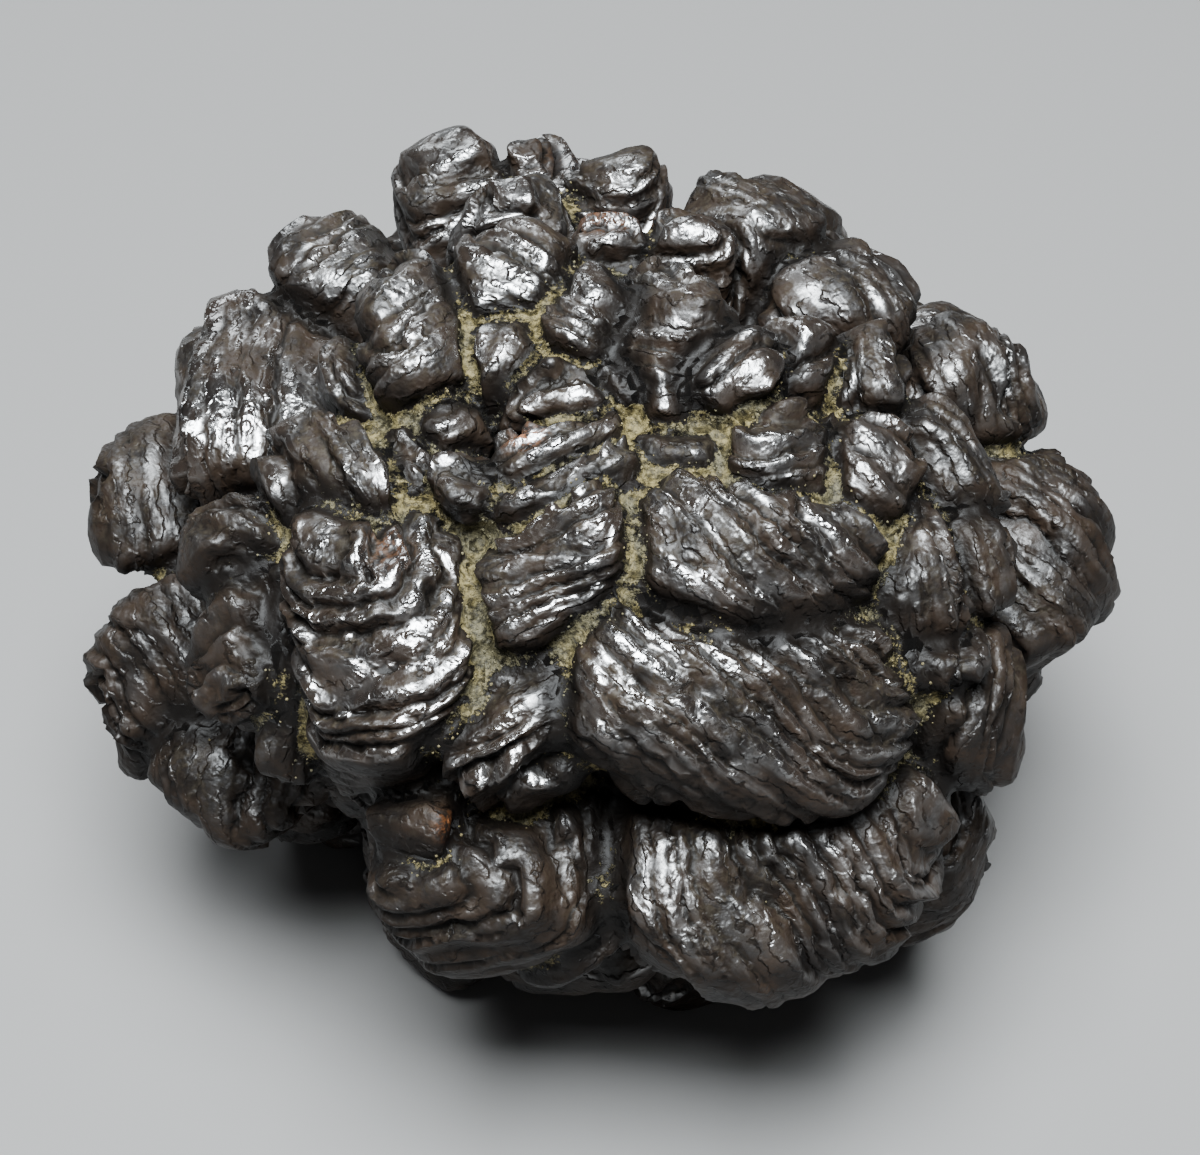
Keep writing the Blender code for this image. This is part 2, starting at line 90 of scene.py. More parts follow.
# half holds the half sizes along the crystal's length, across it and outwards.
# Angles are as seen, anticlockwise from the right.
@dataclass
class Crystal:
    name: str
    half: tuple
    crownAt: tuple = None  # its outermost point, in pixels
    seenAt: tuple = None  # or its middle, for one on the rim
    standsAt: tuple = None  # for a foot under the stone, its x and y
    bearing: float = 0.0  # its place round the stone where it isn't seen
    rise: float = 0.0
    turn: float = 0.0  # angle of its length
    square: float = 2.6  # 2 is an ellipsoid, and 4 is a block with round edges
    proud: float = 0.0  # how far it stands out past its neighbours
    step: float = 3.0  # distance between its growth ledges
    lean: float = 30.0  # tilt of the stack of layers from the outward direction
    toward: float = 270.0  # the way the stack leans
    plates: tuple = ()  # its large flat faces: (angle, tilt, reach)


seenCrystals = [
    # the back rim
    Crystal("back_knob_1", (4.7, 4.2, 5.6), seenAt=(456, 202), square=2.9),
    Crystal("back_knob_2", (3.9, 3.8, 5.3), seenAt=(541, 209)),
    Crystal("back_knob_3", (4.6, 4.0, 5.2), seenAt=(608, 230), lean=20),
    Crystal("back_knob_4", (4.0, 3.4, 4.8), crownAt=(686, 214)),
    Crystal("back_block", (5.8, 5.0, 6.0), seenAt=(754, 276), turn=-12, square=3.4, toward=45, lean=60),
    Crystal("back_corner", (5.0, 4.8, 5.9), seenAt=(828, 320), square=3.0, toward=50, lean=60),
    Crystal("back_low_knob", (4.6, 2.8, 4.4), crownAt=(505, 184), turn=5, proud=-0.4),
    Crystal("back_plate", (4.2, 3.0, 4.0), crownAt=(606, 224), square=3.2, proud=-0.6),
    # the left rim
    Crystal("left_knob", (5.0, 4.6, 6.2), seenAt=(350, 312), square=2.8, toward=120),
    Crystal("left_knob_tail", (4.8, 3.0, 4.4), crownAt=(346, 366), turn=118, proud=-1.5, toward=40),
    Crystal("left_finger", (7.6, 4.5, 6.6), crownAt=(394, 298), turn=100, proud=0.9, toward=150, lean=40),
    Crystal("left_finger_tail", (4.4, 2.7, 4.2), crownAt=(430, 398), turn=112, proud=-1.8, toward=150),
    Crystal(
        "left_plates",
        (9.8, 6.0, 7.2),
        seenAt=(274, 408),
        turn=-57,
        square=3.2,
        step=3.4,
        lean=65,
        toward=213,
        plates=((225, 28, 0.86), (20, 30, 0.84)),
    ),
    Crystal(
        "left_plates_end",
        (6.2, 4.8, 5.6),
        crownAt=(312, 470),
        turn=-57,
        square=3.2,
        toward=213,
        lean=65,
    ),
    Crystal("left_ball", (7.0, 6.0, 6.6), seenAt=(190, 500), turn=90, lean=20),
    Crystal("left_inner_ball", (4.9, 4.5, 5.4), crownAt=(205, 534), proud=0.3),
    Crystal("left_nested", (7.2, 6.6, 7.2), seenAt=(206, 674), turn=80, square=3.0, lean=12),
    Crystal("left_nested_cap", (6.4, 5.6, 6.2), crownAt=(220, 656), turn=80, square=3.0, proud=0.4, lean=12),
    Crystal("left_nested_foot", (8.6, 5.2, 6.4), seenAt=(236, 738), turn=-15, toward=200, lean=50),
    Crystal("left_wall", (7.8, 3.0, 5.2), crownAt=(262, 680), turn=82, proud=-1.0, toward=170, lean=75),
    # the top
    Crystal("top_drop", (5.5, 5.1, 6.4), crownAt=(506, 244), square=2.4, proud=0.9, lean=60, toward=50),
    Crystal("top_drop_tail", (4.6, 3.7, 4.8), crownAt=(500, 326), turn=100, proud=-1.1, lean=60, toward=150),
    Crystal("top_middle", (5.4, 4.4, 5.4), crownAt=(604, 288), turn=70, square=2.8, toward=60, proud=0.2),
    Crystal("top_round", (7.2, 5.5, 6.4), crownAt=(683, 304), turn=102, proud=1.0, toward=80, lean=35),
    Crystal("top_bud_1", (4.9, 3.9, 5.0), crownAt=(740, 350), turn=32, proud=0.7, toward=300, lean=50),
    Crystal("top_bud_2", (4.4, 3.7, 5.2), crownAt=(812, 338), turn=90, square=2.8, proud=0.5, toward=90),
    Crystal("top_bud_3", (5.0, 3.6, 5.2), crownAt=(884, 360), turn=105, proud=0.2, toward=0, lean=65),
    Crystal("top_low_1", (4.6, 2.7, 4.0), crownAt=(546, 372), turn=-18, proud=-0.9, square=3.0),
    Crystal("top_low_2", (4.6, 2.7, 4.0), crownAt=(646, 374), turn=10, proud=-1.0, square=3.0),
    # the saddle between the top and the front
    Crystal("saddle_left", (6.6, 2.8, 4.2), crownAt=(546, 438), turn=28, proud=-1.2, toward=118, lean=70),
    Crystal("saddle_right", (6.2, 2.7, 4.2), crownAt=(694, 450), turn=6, proud=-1.9, toward=100),
    Crystal("saddle_bud", (3.2, 2.9, 3.6), crownAt=(466, 470), turn=80, proud=-1.0, lean=10),
    Crystal("saddle_corner", (5.4, 3.6, 4.4), crownAt=(392, 462), turn=-60, proud=-2.2),
    # the right side
    Crystal("right_knob", (5.2, 4.8, 5.8), seenAt=(955, 408), square=2.8, toward=20, lean=40),
    Crystal("right_ridge", (5.8, 3.7, 5.0), crownAt=(966, 452), turn=-50, toward=45, lean=70),
    Crystal("right_end", (8.4, 5.8, 6.4), seenAt=(1012, 562), turn=80, toward=45, lean=60),
    Crystal("right_inner_1", (4.8, 4.1, 5.0), crownAt=(798, 440), turn=15, proud=0.1, toward=100, lean=50),
    Crystal("right_inner_2", (5.4, 4.2, 5.0), crownAt=(885, 462), turn=100, toward=60, lean=50),
    Crystal("right_slope", (6.8, 4.2, 5.0), crownAt=(934, 572), turn=100, proud=-0.3, toward=10, lean=70),
    Crystal("right_slip", (4.8, 3.3, 4.8), crownAt=(1004, 546), turn=100, toward=10, lean=60),
    Crystal("right_low_bud", (4.4, 3.4, 4.6), crownAt=(955, 654), turn=8, toward=0, lean=40),
    Crystal("right_foot", (6.2, 5.0, 5.6), seenAt=(930, 702), turn=100, toward=0, lean=65),
    # the front
    Crystal(
        "front_wedge",
        (10.4, 8.0, 7.2),
        crownAt=(332, 640),
        turn=-78,
        proud=0.6,
        square=3.0,
        step=2.6,
        lean=38,
        toward=90,
        plates=((190, 52, 0.88),),
    ),
    Crystal(
        "front_middle",
        (6.2, 5.2, 6.2),
        crownAt=(556, 550),
        turn=15,
        proud=0.7,
        square=3.0,
        toward=110,
        lean=60,
    ),
    Crystal("front_ridge", (6.6, 2.6, 4.2), crownAt=(584, 474), turn=18, proud=-0.4, toward=110, lean=60),
    Crystal(
        "front_loaf",
        (9.3, 6.2, 6.8),
        crownAt=(784, 554),
        turn=-14,
        proud=0.9,
        square=2.8,
        toward=48,
        lean=62,
    ),
    Crystal(
        "front_shelf",
        (12.2, 7.8, 8.2),
        crownAt=(754, 706),
        turn=-8,
        proud=0.7,
        square=2.7,
        step=2.8,
        lean=70,
        toward=52,
        plates=((80, 22, 0.92),),
    ),
    Crystal(
        "front_ledges",
        (7.6, 6.4, 6.6),
        crownAt=(512, 722),
        turn=25,
        square=3.6,
        step=2.4,
        lean=62,
        toward=295,
        plates=((115, 30, 0.8), (295, 38, 0.84)),
    ),
    Crystal(
        "low_shelf",
        (12.4, 6.4, 8.4),
        seenAt=(776, 856),
        turn=4,
        proud=2.8,
        square=2.9,
        step=2.8,
        lean=75,
        toward=35,
        plates=((95, 42, 0.84),),
    ),
    Crystal("low_corner", (6.4, 4.0, 5.8), seenAt=(908, 846), turn=95, toward=0, lean=70),
    Crystal(
        "low_block",
        (8.8, 7.2, 7.8),
        seenAt=(490, 860),
        turn=-15,
        proud=0.8,
        square=3.4,
        toward=110,
        lean=60,
    ),
    Crystal("low_knob", (3.9, 3.1, 4.4), seenAt=(422, 822), turn=12, square=3.0, plates=((90, 25, 0.85),)),
    Crystal("low_fin", (5.6, 3.0, 4.8), seenAt=(562, 912), turn=50, toward=140, lean=70),
]

# Every foot has one flat face, straight down
footPlates = ((0, 0, 0.9),)

# The lowest crystals, spread widely enough for the stone to stand as it was seen
footCrystals = [
    Crystal("foot_left", (7.8, 6.6, 6.0), standsAt=(-17.0, 1.5), turn=70, square=3.0, toward=200),
    Crystal("foot_back_left", (8.4, 6.2, 6.0), standsAt=(-6.5, 14.0), turn=20, lean=40),
    Crystal("foot_back_right", (6.6, 7.6, 6.0), standsAt=(9.5, 10.5), turn=-35, square=3.0, lean=60),
    Crystal("foot_right", (7.0, 8.0, 6.0), standsAt=(17.5, -3.0), turn=80, toward=40),
    Crystal("foot_front_right", (8.0, 6.4, 6.0), standsAt=(6.5, -13.5), turn=15, lean=65, toward=330),
    Crystal("foot_front_left", (7.0, 7.8, 6.0), standsAt=(-9.5, -10.5), turn=120, square=2.9, lean=50),
    Crystal("foot_middle", (8.4, 7.0, 6.0), standsAt=(1.5, -1.0), turn=60, proud=-1.2, lean=60),
]

# The overhang below the crystals that are seen
underCrystals = [
    Crystal("under_left", (6.8, 5.4, 6.0), bearing=198, rise=-36, turn=80, proud=-1.4),
    Crystal("under_front_left", (6.2, 5.4, 6.0), bearing=236, rise=-44, turn=130, proud=-3.2, lean=55),
    Crystal("under_front", (6.8, 5.6, 6.2), bearing=266, rise=-38, turn=10, proud=-1.0, lean=60),
    Crystal("under_front_right", (6.6, 5.6, 6.2), bearing=299, rise=-36, turn=60, proud=-0.8, lean=45),
    Crystal("under_right", (6.4, 5.6, 6.0), bearing=332, rise=-36, turn=100, proud=-1.4, lean=65),
]

# Holes between the crystals: (pixel, radius, depth)
pits = [
    ((489, 592), 1.5, 3.6),
    ((246, 520), 1.3, 1.6),
    ((866, 493), 1.3, 1.4),
]


def direction(bearing, rise):
    return Vector(
        (
            math.cos(bearing) * math.cos(rise),
            math.sin(bearing) * math.cos(rise),
            math.sin(rise),
        )
    )


def hiddenCrystals():
    chance = random.Random(hidden["seed"])
    found = []
    for index in range(hidden["count"]):
        rise = math.asin(1.0 - 2.0 * (index + 0.5) / hidden["count"])
        bearing = index * hidden["turn"]
        outward = direction(bearing, rise)
        if outward.dot(toEye) > hidden["outOfSight"] or outward.z < hidden["overFeet"]:
            continue
        size = chance.uniform(0.9, 1.25)
        found.append(
            Crystal(
                f"hidden_{index:02d}",
                (6.4 * size, 5.2 * size, 6.0),
                bearing=math.degrees(bearing) % 360.0,
                rise=math.degrees(rise),
                turn=chance.uniform(0.0, 180.0),
                square=chance.uniform(2.4, 3.4),
                proud=chance.uniform(-0.8, 0.8),
                lean=chance.uniform(10.0, 70.0),
                toward=chance.uniform(0.0, 360.0),
            )
        )
    return found


crystals = seenCrystals + footCrystals + underCrystals + hiddenCrystals()


def scaled(vector, by):
    return Vector((vector.x * by.x, vector.y * by.y, vector.z * by.z))


# The point of the ellipsoid with these half sizes that is seen at the pixel
def pointSeen(pixel, half):
    right = (pixel[0] - view["middlePixel"][0]) / view["pixelsPerMm"]
    up = (view["middlePixel"][1] - pixel[1]) / view["pixelsPerMm"]
    eye = toEye * view["distance"]
    ray = viewRight * right + viewUp * up - eye
    inverse = Vector((1.0 / half.x, 1.0 / half.y, 1.0 / half.z))
    start = scaled(eye, inverse)
    way = scaled(ray, inverse)
    a = way.dot(way)
    b = way.dot(start)
    c = start.dot(start) - 1.0
    along = (-b - math.sqrt(max(0.0, b * b - a * c))) / a
    return eye + ray * along


# The direction at this angle of the picture, laid in the plane that faces outwards
def inPlane(angle, out):
    turn = math.radians(angle)
    wanted = viewRight * math.cos(turn) + viewUp * math.sin(turn)
    return (wanted - out * wanted.dot(out)).normalized()


def outwardAt(point, half):
    return Vector((point.x / half.x**2, point.y / half.y**2, point.z / half.z**2)).normalized()


# (middle, axes) of a crystal. The axes' columns are its length, its width and outwards.
def placed(crystal):
    depth = crystal.half[2] - crystal.proud
    half = stone["half"] - Vector((depth, depth, depth))
    if crystal.standsAt:
        middle = Vector((*crystal.standsAt, -half.z))
        out = Vector((0.0, 0.0, -1.0))
    elif crystal.crownAt:
        half = stone["half"] + Vector((crystal.proud, crystal.proud, crystal.proud))
        crown = pointSeen(crystal.crownAt, half)
        out = outwardAt(crown, half)
        middle = crown - out * crystal.half[2]
    else:
        if crystal.seenAt:
            middle = pointSeen(crystal.seenAt, half)
        else:
            outward = direction(math.radians(crystal.bearing), math.radians(crystal.rise))
            middle = scaled(outward, half)
        out = outwardAt(middle, half)
    length = inPlane(crystal.turn, out)
    width = out.cross(length)
    return np.array(middle), np.array(Matrix((length, width, out)).transposed())


def tilted(angle, tilt):
    turn = math.radians(angle)
    rise = math.radians(tilt)
    return np.array(
        [math.sin(rise) * math.cos(turn), math.sin(rise) * math.sin(turn), math.cos(rise)]
    )


# (directions, distances) of a crystal's flat faces, in its own axes
def facetsOf(crystal):
    chance = random.Random(crystal.name)
    plates = footPlates if crystal.standsAt else crystal.plates
    ways = [tilted(angle - crystal.turn, tilt) for angle, tilt, reach in plates]
    shares = [reach for angle, tilt, reach in plates]
    for _ in range(stone["facets"]):
        way = np.array([chance.gauss(0.0, 1.0), chance.gauss(0.0, 1.0), chance.gauss(0.45, 0.8)])
        ways.append(way / np.linalg.norm(way))
        shares.append(chance.uniform(*stone["facetReach"]))
    ways = np.array(ways)
    return ways, np.linalg.norm(ways * np.array(crystal.half), axis=1) * np.array(shares)


# 0 at a crystal's middle and 1 on its surface: a rounded block cut by its flat faces
def inwardness(local, crystal):
    hard = stone["edgeHardness"]
    body = (np.abs(local / np.array(crystal.half)) ** crystal.square).sum(axis=1) ** (1.0 / crystal.square)
    ways, reach = facetsOf(crystal)
    cuts = np.maximum(0.0, local @ ways.T / reach)
    return (body**hard + (cuts**hard).sum(axis=1)) ** (1.0 / hard)


def unitBall(divisions):
    ball = bmesh.new()
    bmesh.ops.create_icosphere(ball, subdivisions=divisions, radius=1.0)
    points = np.array([vert.co for vert in ball.verts])
    faces = np.array([[vert.index for vert in face.verts] for face in ball.faces])
    ball.free()
    return points, faces


def rawMesh():
    ball, ballFaces = unitBall(5)
    shapes = [ball * np.array(stone["core"])]
    for crystal in crystals:
        middle, axes = placed(crystal)
        shapes.append(ball / inwardness(ball, crystal)[:, None] @ axes.T + middle)
    points = np.concatenate(shapes)
    faces = np.concatenate([ballFaces + index * len(ball) for index in range(len(shapes))])
    mesh = bpy.data.meshes.new("crystals")
    mesh.from_pydata(points.tolist(), [], faces.tolist())
    return mesh


# For each point, the crystal that it lies on, and how clear of the next crystal it is
def ownersOf(points):
    least = np.full(len(points), stone["far"])
    second = np.full(len(points), stone["far"])
    owner = np.zeros(len(points), int)
    for index, crystal in enumerate(crystals):
        middle, axes = placed(crystal)
        local = (points - middle) @ axes
        near = np.linalg.norm(local, axis=1) < 1.3 * max(crystal.half)
        found = np.full(len(points), stone["far"])
        found[near] = inwardness(local[near], crystal)
        second = np.minimum(second, np.maximum(found, least))
        owner[found < least] = index
        least = np.minimum(least, found)
    return owner, np.clip(second - least, 0.0, 1.0)


def waves(points, size):
    return np.array([noise.noise(point) for point in points / size])


def smoothStep(low, high, values):
    share = np.clip((values - low) / (high - low), 0.0, 1.0)
    return share * share * (3.0 - 2.0 * share)


# The growth layers. Each crystal is a stack of thin layers that end in steps on its skin,
# and the layers are broken into chips. Lengths are in millimetres.
layers = {
    "stairs": 0.85,  # how far a step stands out, as a share of a full stair
    "sharpest": 0.14,  # least share of a step that its riser takes
    "outset": 0.34,  # how much further out or in one layer's edge lies than the next
    "groove": 0.2,  # depth of the line between two layers
    "grooveShare": 0.13,
    "uneven": 0.3,  # how much their thickness varies
    "drift": 0.8,  # how far a layer wanders up and down
    "driftSize": 6.0,
    "jitter": 0.24,
    "jitterSize": 1.0,
    "chipLength": 3.6,
    "chipShift": 0.24,  # how much higher or lower a chip lies than the next
    "chipTilt": 0.10,
    "chipOffset": 0.05,
    "chipWarp": 0.32,  # how far its edges wander, in chip sizes
    "dust": 0.62,  # most dust outside the patches that are seen
    "dustSize": 8.0,
}

# How far a crystal's layers stand out, how thick they are, and how polished it is
plainFinish = (0.6, 1.5, 0.8)
crystalFinish = {
    "front_shelf": (1.1, 1.35, 1.0),
    "low_shelf": (1.0, 1.6, 0.55),
    "front_wedge": (1.1, 1.4, 1.0),
    "front_ledges": (1.1, 1.9, 1.0),
    "front_loaf": (1.0, 1.35, 1.0),
    "front_middle": (1.0, 1.3, 1.0),
    "front_ridge": (0.9, 1.2, 0.8),
    "left_plates": (1.0, 2.0, 1.0),
    "left_plates_end": (0.9, 1.8, 0.9),
    "left_nested": (0.9, 1.2, 0.3),
    "left_nested_cap": (0.9, 1.2, 0.35),
    "left_nested_foot": (0.9, 1.4, 0.3),
    "left_wall": (1.0, 1.3, 0.5),
    "left_ball": (0.5, 1.5, 0.3),
    "left_knob": (0.5, 1.5, 0.7),
    "left_inner_ball": (0.5, 1.5, 0.3),
    "right_end": (0.8, 1.5, 0.3),
    "right_slip": (0.8, 1.4, 0.35),
    "right_ridge": (0.9, 1.3, 0.45),
    "right_slope": (0.9, 1.4, 0.4),
    "right_low_bud": (0.7, 1.4, 0.6),
    "right_foot": (0.8, 1.5, 0.25),
    "right_knob": (0.7, 1.3, 0.5),
    "right_inner_2": (0.8, 1.3, 0.6),
    "back_corner": (0.8, 1.3, 0.6),
    "back_block": (0.8, 1.4, 0.65),
    "low_block": (0.6, 2.0, 0.3),
    "low_knob": (0.3, 1.6, 0.25),
    "low_corner": (0.8, 1.5, 0.45),
    "low_fin": (0.6, 1.5, 0.4),
    "top_drop": (0.7, 1.2, 1.0),
}


def hashOf(points, salt):
    mixed = points @ np.array([127.1, 311.7, 74.7]) + salt
    return np.modf(np.abs(np.sin(mixed) * 43758.5453))[0]


# (level, tilt) of the chips at these points of a crystal's own layer space
def chipsAt(spots):
    cells = np.array([noise.voronoi(spot)[1][0] for spot in spots]).reshape(-1, 3)
    rounded = np.round(cells, 3)
    lean = np.stack([hashOf(rounded, salt) - 0.5 for salt in (3.1, 5.7, 9.2)], axis=1)
    return hashOf(rounded, 0.0) - 0.5, ((spots - cells) * lean).sum(axis=1)


def layerRelief(points, normals):
    owner, clear = ownersOf(points)
    wander = 0.55 * waves(points, 4.5) + 0.22 * waves(points + 40.0, 1.6)
    drift = layers["drift"] * waves(points + 150.0, layers["driftSize"])
    drift += layers["jitter"] * waves(points + 60.0, layers["jitterSize"])
    warp = np.stack([waves(points + shift, 1.3) for shift in (11.0, 23.0, 37.0)], axis=1)
    worn = np.clip((points[:, 2] + stone["half"].z) / stone["wornBelow"], 0.0, 1.0)
    strength = np.clip(0.75 + 0.8 * waves(points - 70.0, 5.0), 0.15, 1.3)
    strength *= np.clip(clear / 0.15, 0.15, 1.0) * worn
    fineStrength = np.clip(0.85 + 0.8 * waves(points + 90.0, 4.0), 0.3, 1.3)
    fineStrength *= np.clip(clear / 0.1, 0.2, 1.0) * worn
    relief = np.zeros(len(points))
    grain = np.zeros((len(points), 3))
    polish = np.zeros(len(points))
    for index, crystal in enumerate(crystals):
        mine = owner == index
        if not mine.any():
            continue
        middle, axes = placed(crystal)
        stack = axes @ tilted(crystal.toward - crystal.turn, crystal.lean)
        along = np.cross(stack, axes[:, 2])
        along /= np.linalg.norm(along)
        local = points[mine] - middle
        facing = normals[mine] @ stack
        side = 1.0 - facing**2
        chance = random.Random(crystal.name)
        outsets = np.array([chance.uniform(-0.5, 0.5) for _ in range(80)])

        # the coarse ledges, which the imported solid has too
        height = local @ stack / crystal.step + wander[mine]
        layer = np.floor(height)
        rest = height - layer
        groove = np.exp(-((np.minimum(rest, 1.0 - rest) / stone["grooveShare"]) ** 2))
        ledge = crystal.step * facing * np.clip(rest - 0.5, -0.4, 0.4)
        outset = outsets[layer.astype(int) + 40]
        lines = stone["layerOffset"] * outset - stone["layerGroove"] * groove
        relief[mine] = strength[mine] * (stone["ledge"] * ledge + side * lines)

        # the thin layers
        amount, pitch, shine = crystalFinish.get(crystal.name, plainFinish)
        flat = np.stack([local @ along, local @ np.cross(stack, along), local @ stack], axis=1)
        size = np.array((layers["chipLength"], layers["chipLength"], 2.2 * pitch))
        level, tilt = chipsAt(flat / size + index * 7.0 + warp[mine] * layers["chipWarp"])
        height = (flat[:, 2] + drift[mine] + layers["chipShift"] * level) / pitch
        height += layers["uneven"] * np.sin(height * 1.7 + index)
        layer = np.floor(height)
        rest = height - layer
        riser = np.clip(side, layers["sharpest"], 0.86)
        rise = np.where(rest < riser, rest / riser, (1.0 - rest) / (1.0 - riser)) - 0.5
        groove = np.exp(-((np.minimum(rest, 1.0 - rest) / layers["grooveShare"]) ** 2))
        outset = outsets[np.clip(layer.astype(int) + 40, 0, 79)]
        fine = layers["stairs"] * pitch * facing * rise
        fine += side * (layers["outset"] * outset - layers["groove"] * groove)
        fine += layers["chipOffset"] * level + layers["chipTilt"] * tilt
        relief[mine] += amount * fineStrength[mine] * fine
        grain[mine] = flat + index * 31.0
        polish[mine] = shine
    relief -= stone["creaseDepth"] * np.exp(-((clear / stone["creaseWidth"]) ** 2))
    for pixel, radius, depth in pits:
        middle = np.array(pointSeen(pixel, stone["half"] - Vector((radius, radius, radius)) * 2.0))
        reach = np.linalg.norm(points - middle, axis=1)
        relief -= depth * np.exp(-((reach / radius) ** 4))
    return relief, {"crease": clear, "grain": grain, "polish": polish}


def evaluatedMesh(obj):
    graph = bpy.context.evaluated_depsgraph_get()
    return bpy.data.meshes.new_from_object(obj.evaluated_get(graph))


def withModifier(mesh, kind, **settings):
    obj = bpy.data.objects.new("working", mesh)
    scene.collection.objects.link(obj)
    modifier = obj.modifiers.new(kind, kind)
    for name, value in settings.items():
        setattr(modifier, name, value)
    made = evaluatedMesh(obj)
    bpy.data.objects.remove(obj)
    return made


# Removes the closed pockets that the crystals leave inside the stone
def keepSkin(mesh):
    form = bmesh.new()
    form.from_mesh(mesh)
    start = max(form.verts, key=lambda vert: vert.co.x)
    reached = {start}
    frontier = [start]
    while frontier:
        vert = frontier.pop()
        for edge in vert.link_edges:
            other = edge.other_vert(vert)
            if other not in reached:
                reached.add(other)
                frontier.append(other)
    pockets = [vert for vert in form.verts if vert not in reached]
    bmesh.ops.delete(form, geom=pockets, context="VERTS")
    form.to_mesh(mesh)
    form.free()


def pointsOf(mesh):
    points = np.zeros(len(mesh.vertices) * 3)
    mesh.vertices.foreach_get("co", points)
    return points.reshape(-1, 3)


def normalsOf(mesh):
    normals = np.zeros(len(mesh.vertices) * 3)
    mesh.vertex_normals.foreach_get("vector", normals)
    return normals.reshape(-1, 3)


# How far each vertex lies below the mean of the vertices round it
def hollowsOf(mesh, rounds):
    points = pointsOf(mesh)
    ends = np.zeros(len(mesh.edges) * 2, int)
    mesh.edges.foreach_get("vertices", ends)
    ends = ends.reshape(-1, 2)
    count = np.bincount(ends.ravel(), minlength=len(points))[:, None]
    mean = points.copy()
    for _ in range(rounds):
        total = np.zeros_like(mean)
        for axis in range(3):
            total[:, axis] = np.bincount(ends[:, 0], mean[ends[:, 1], axis], len(points))
            total[:, axis] += np.bincount(ends[:, 1], mean[ends[:, 0], axis], len(points))
        mean = total / count
    return ((mean - points) * normalsOf(mesh)).sum(axis=1)


def setAttribute(mesh, name, values):
    kind = "FLOAT" if values.ndim == 1 else "FLOAT_VECTOR"
    attribute = mesh.attributes.new(name, kind, "POINT")
    field = "value" if values.ndim == 1 else "vector"
    attribute.data.foreach_set(field, values.astype(np.float32).ravel())


# Where the pale dust lies: (pixel, reach in millimetres, amount)
dustPatches = [
    ((330, 335), 2.6, 0.8),
    ((368, 420), 2.8, 0.9),
    ((392, 492), 2.6, 1.0),
    ((448, 462), 2.4, 0.9),
    ((455, 560), 3.0, 1.0),
    ((478, 620), 3.0, 1.0),
    ((470, 665), 2.8, 0.8),
    ((430, 740), 2.2, 0.6),
    ((320, 400), 2.2, 0.6),
    ((540, 425), 3.2, 0.8),
    ((620, 450), 3.2, 0.9),
    ((690, 462), 2.8, 1.0),
    ((750, 430), 2.8, 0.8),
    ((812, 480), 2.0, 0.7),
    ((560, 360), 2.4, 0.5),
    ((470, 330), 2.0, 0.6),
    ((600, 200), 2.6, 0.5),
    ((640, 560), 2.2, 0.8),
    ((600, 640), 2.6, 0.9),
    ((598, 720), 2.2, 0.8),
    ((606, 800), 2.6, 0.9),
    ((612, 860), 2.4, 0.7),
    ((912, 712), 3.0, 0.7),
    ((900, 760), 2.4, 0.6),
    ((915, 330), 2.2, 0.6),
    ((985, 610), 2.6, 0.5),
    ((270, 545), 2.4, 0.6),
    ((290, 760), 2.6, 0.5),
    ((545, 905), 2.4, 0.6),
    ((560, 250), 3.4, 0.5),
    ((650, 270), 3.4, 0.5),
    ((740, 300), 3.4, 0.5),
    ((830, 380), 3.0, 0.5),
    ((450, 250), 2.6, 0.5),
    ((390, 240), 2.4, 0.4),
    ((230, 600), 3.0, 0.45),
    ((250, 720), 3.0, 0.45),
    ((880, 560), 3.0, 0.4),
    ((960, 500), 3.0, 0.4),
    ((500, 800), 2.4, 0.4),
]
rustSpots = [((543, 172), 0.9), ((613, 215), 1.4), ((385, 575), 0.9), ((455, 825), 0.6), ((520, 432), 0.5)]


def spotsOn(points, spots):
    total = np.zeros(len(points))
    for pixel, reach, amount in spots:
        middle = np.array(pointSeen(pixel, stone["half"] * 0.94))
        flat = points - middle
        total = np.maximum(total, amount * np.exp(-((np.linalg.norm(flat, axis=1) / reach / 1.3) ** 2)))
    return total


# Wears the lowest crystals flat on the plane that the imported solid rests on
def stand(mesh):
    form = bmesh.new()
    form.from_mesh(mesh)
    bmesh.ops.translate(form, verts=form.verts[:], vec=stone["middle"])
    cut = bmesh.ops.bisect_plane(
        form,
        geom=form.verts[:] + form.edges[:] + form.faces[:],
        plane_co=(0.0, 0.0, 0.0),
        plane_no=(0.0, 0.0, 1.0),
        clear_inner=True,
    )
    rim = [item for item in cut["geom_cut"] if isinstance(item, bmesh.types.BMEdge)]
    bmesh.ops.edgeloop_fill(form, edges=rim)
    bmesh.ops.triangulate(form, faces=form.faces[:])
    form.to_mesh(mesh)
    form.free()


